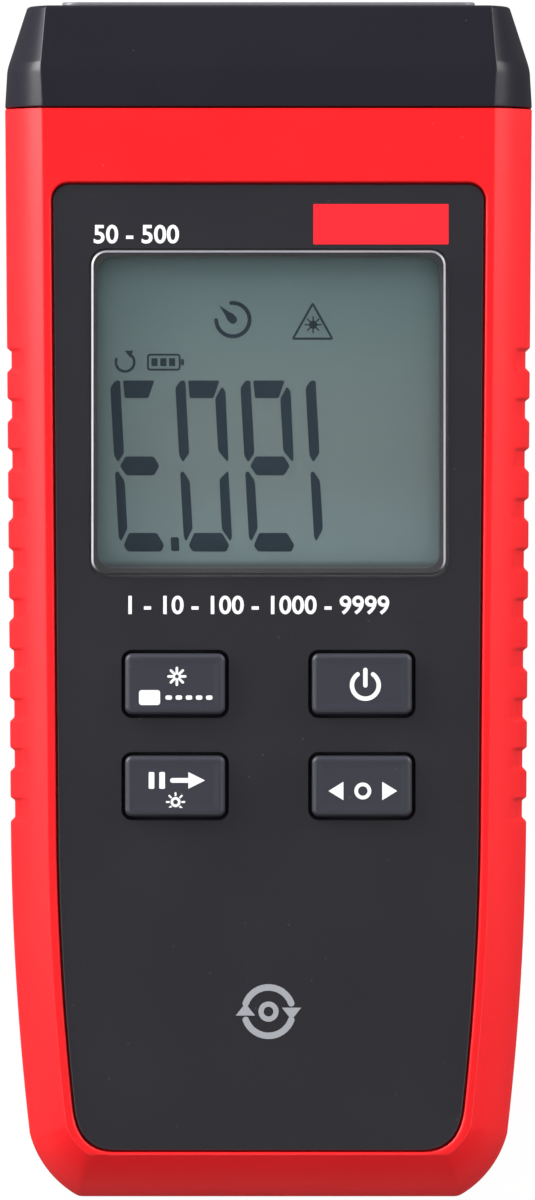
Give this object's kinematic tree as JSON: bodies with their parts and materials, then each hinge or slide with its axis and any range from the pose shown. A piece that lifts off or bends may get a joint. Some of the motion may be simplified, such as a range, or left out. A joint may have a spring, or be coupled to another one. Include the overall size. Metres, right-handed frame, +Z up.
{
  "type": "laser tachometer",
  "caption": "Pocket laser tachometer: tapered case with grip grooves, display lens, push keys, dark nose cap with a sensor window, and a slide-off battery door.",
  "frame": {"origin": "under the middle of the whole, on the plane that the back rests on", "axes": "X across the case, Y along it towards the sensor end, Z up out of the front face"},
  "size_m": [0.06, 0.136, 0.0276],
  "materials": {
    "red_case": "satin",
    "charcoal": "satin",
    "key_grey": "satin",
    "clear_lens": "polished",
    "smoked_window": "polished",
    "lcd": "polished",
    "light_guide": "polished",
    "white_plastic": "satin",
    "zebra": "matt",
    "board": "satin",
    "black_resin": "matt",
    "steel": "plated",
    "brass": "turned",
    "optical_glass": "polished",
    "cell_wrap": "gloss",
    "lead_red": "satin",
    "lead_black": "satin",
    "lead_yellow": "satin",
    "lead_grey": "satin"
  },
  "bodies": {
    "case": {"front_shell": "red_case", "rear_shell": "red_case", "end_cap": "charcoal", "face_panel": "charcoal", "sensor_window": "smoked_window", "display_window": "clear_lens", "lcd_glass": "lcd", "backlight_guide": "light_guide", "lcd_holder": "white_plastic", "zebra_strip": "zebra", "switch_power": "black_resin", "switch_laser": "black_resin", "switch_mode": "black_resin", "switch_hold": "black_resin", "circuit_board": "board", "processor_chip": "black_resin", "crystal_can": "steel", "laser_barrel": "brass", "laser_lens": "optical_glass", "receiver_tube": "black_resin", "receiver_lens": "optical_glass", "photodiode": "black_resin", "optics_block": "black_resin", "cell_1": "cell_wrap", "cell_2": "cell_wrap", "cell_3": "cell_wrap", "spring_1": "steel", "spring_2": "steel", "spring_3": "steel", "contact_positive": "steel", "contact_negative": "steel", "contact_bridge_bottom": "steel", "contact_bridge_top": "steel", "battery_lead_positive": "lead_red", "battery_lead_negative": "lead_black", "laser_lead_1": "lead_red", "laser_lead_2": "lead_black", "sensor_lead_1": "lead_yellow", "sensor_lead_2": "lead_grey", "case_screw_1": "steel", "case_screw_2": "steel", "case_screw_3": "steel", "case_screw_4": "steel", "board_screw_1": "steel", "board_screw_2": "steel", "board_screw_3": "steel"},
    "power_key": {"key_power": "key_grey", "plunger_power": "white_plastic"},
    "laser_key": {"key_laser": "key_grey", "plunger_laser": "white_plastic"},
    "mode_key": {"key_mode": "key_grey", "plunger_mode": "white_plastic"},
    "hold_key": {"key_hold": "key_grey", "plunger_hold": "white_plastic"},
    "door": {"battery_door": "red_case"}
  },
  "joints": [
    {"name": "power_key_press", "type": "slide", "parent": "case", "child": "power_key", "axis": [0, 0, -1], "range_m": [0, 0.0006], "stiffness_N_per_m": 1500, "springref_m": -0.0004},
    {"name": "laser_key_press", "type": "slide", "parent": "case", "child": "laser_key", "axis": [0, 0, -1], "range_m": [0, 0.0006], "stiffness_N_per_m": 1500, "springref_m": -0.0004},
    {"name": "mode_key_press", "type": "slide", "parent": "case", "child": "mode_key", "axis": [0, 0, -1], "range_m": [0, 0.0006], "stiffness_N_per_m": 1500, "springref_m": -0.0004},
    {"name": "hold_key_press", "type": "slide", "parent": "case", "child": "hold_key", "axis": [0, 0, -1], "range_m": [0, 0.0006], "stiffness_N_per_m": 1500, "springref_m": -0.0004},
    {"name": "battery_door_slide", "type": "slide", "parent": "case", "child": "door", "axis": [0, -1, 0], "range_m": [0, 0.058]}
  ]
}
